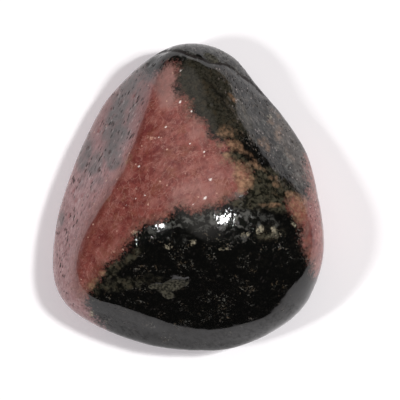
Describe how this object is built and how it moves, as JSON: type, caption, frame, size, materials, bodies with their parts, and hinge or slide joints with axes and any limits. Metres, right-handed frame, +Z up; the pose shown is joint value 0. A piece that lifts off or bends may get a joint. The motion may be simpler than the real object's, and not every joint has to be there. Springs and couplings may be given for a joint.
{
  "type": "tumbled rhodonite stone",
  "caption": "Tumbled rhodonite pebble: a low rounded pyramid of polished pink and black stone that rests on a small flat spot.",
  "frame": {"origin": "middle of the bounding box, on the plane of the flat spot that the stone rests on", "axes": "+Z up, +Y from the broad end to the narrow end, +X to the right when seen from above with the narrow end at the top"},
  "size_m": [0.0264, 0.03, 0.012],
  "materials": {
    "rhodonite": "tumble polished, pink with black veins"
  },
  "bodies": {
    "root": {"stone": "rhodonite"}
  },
  "joints": []
}
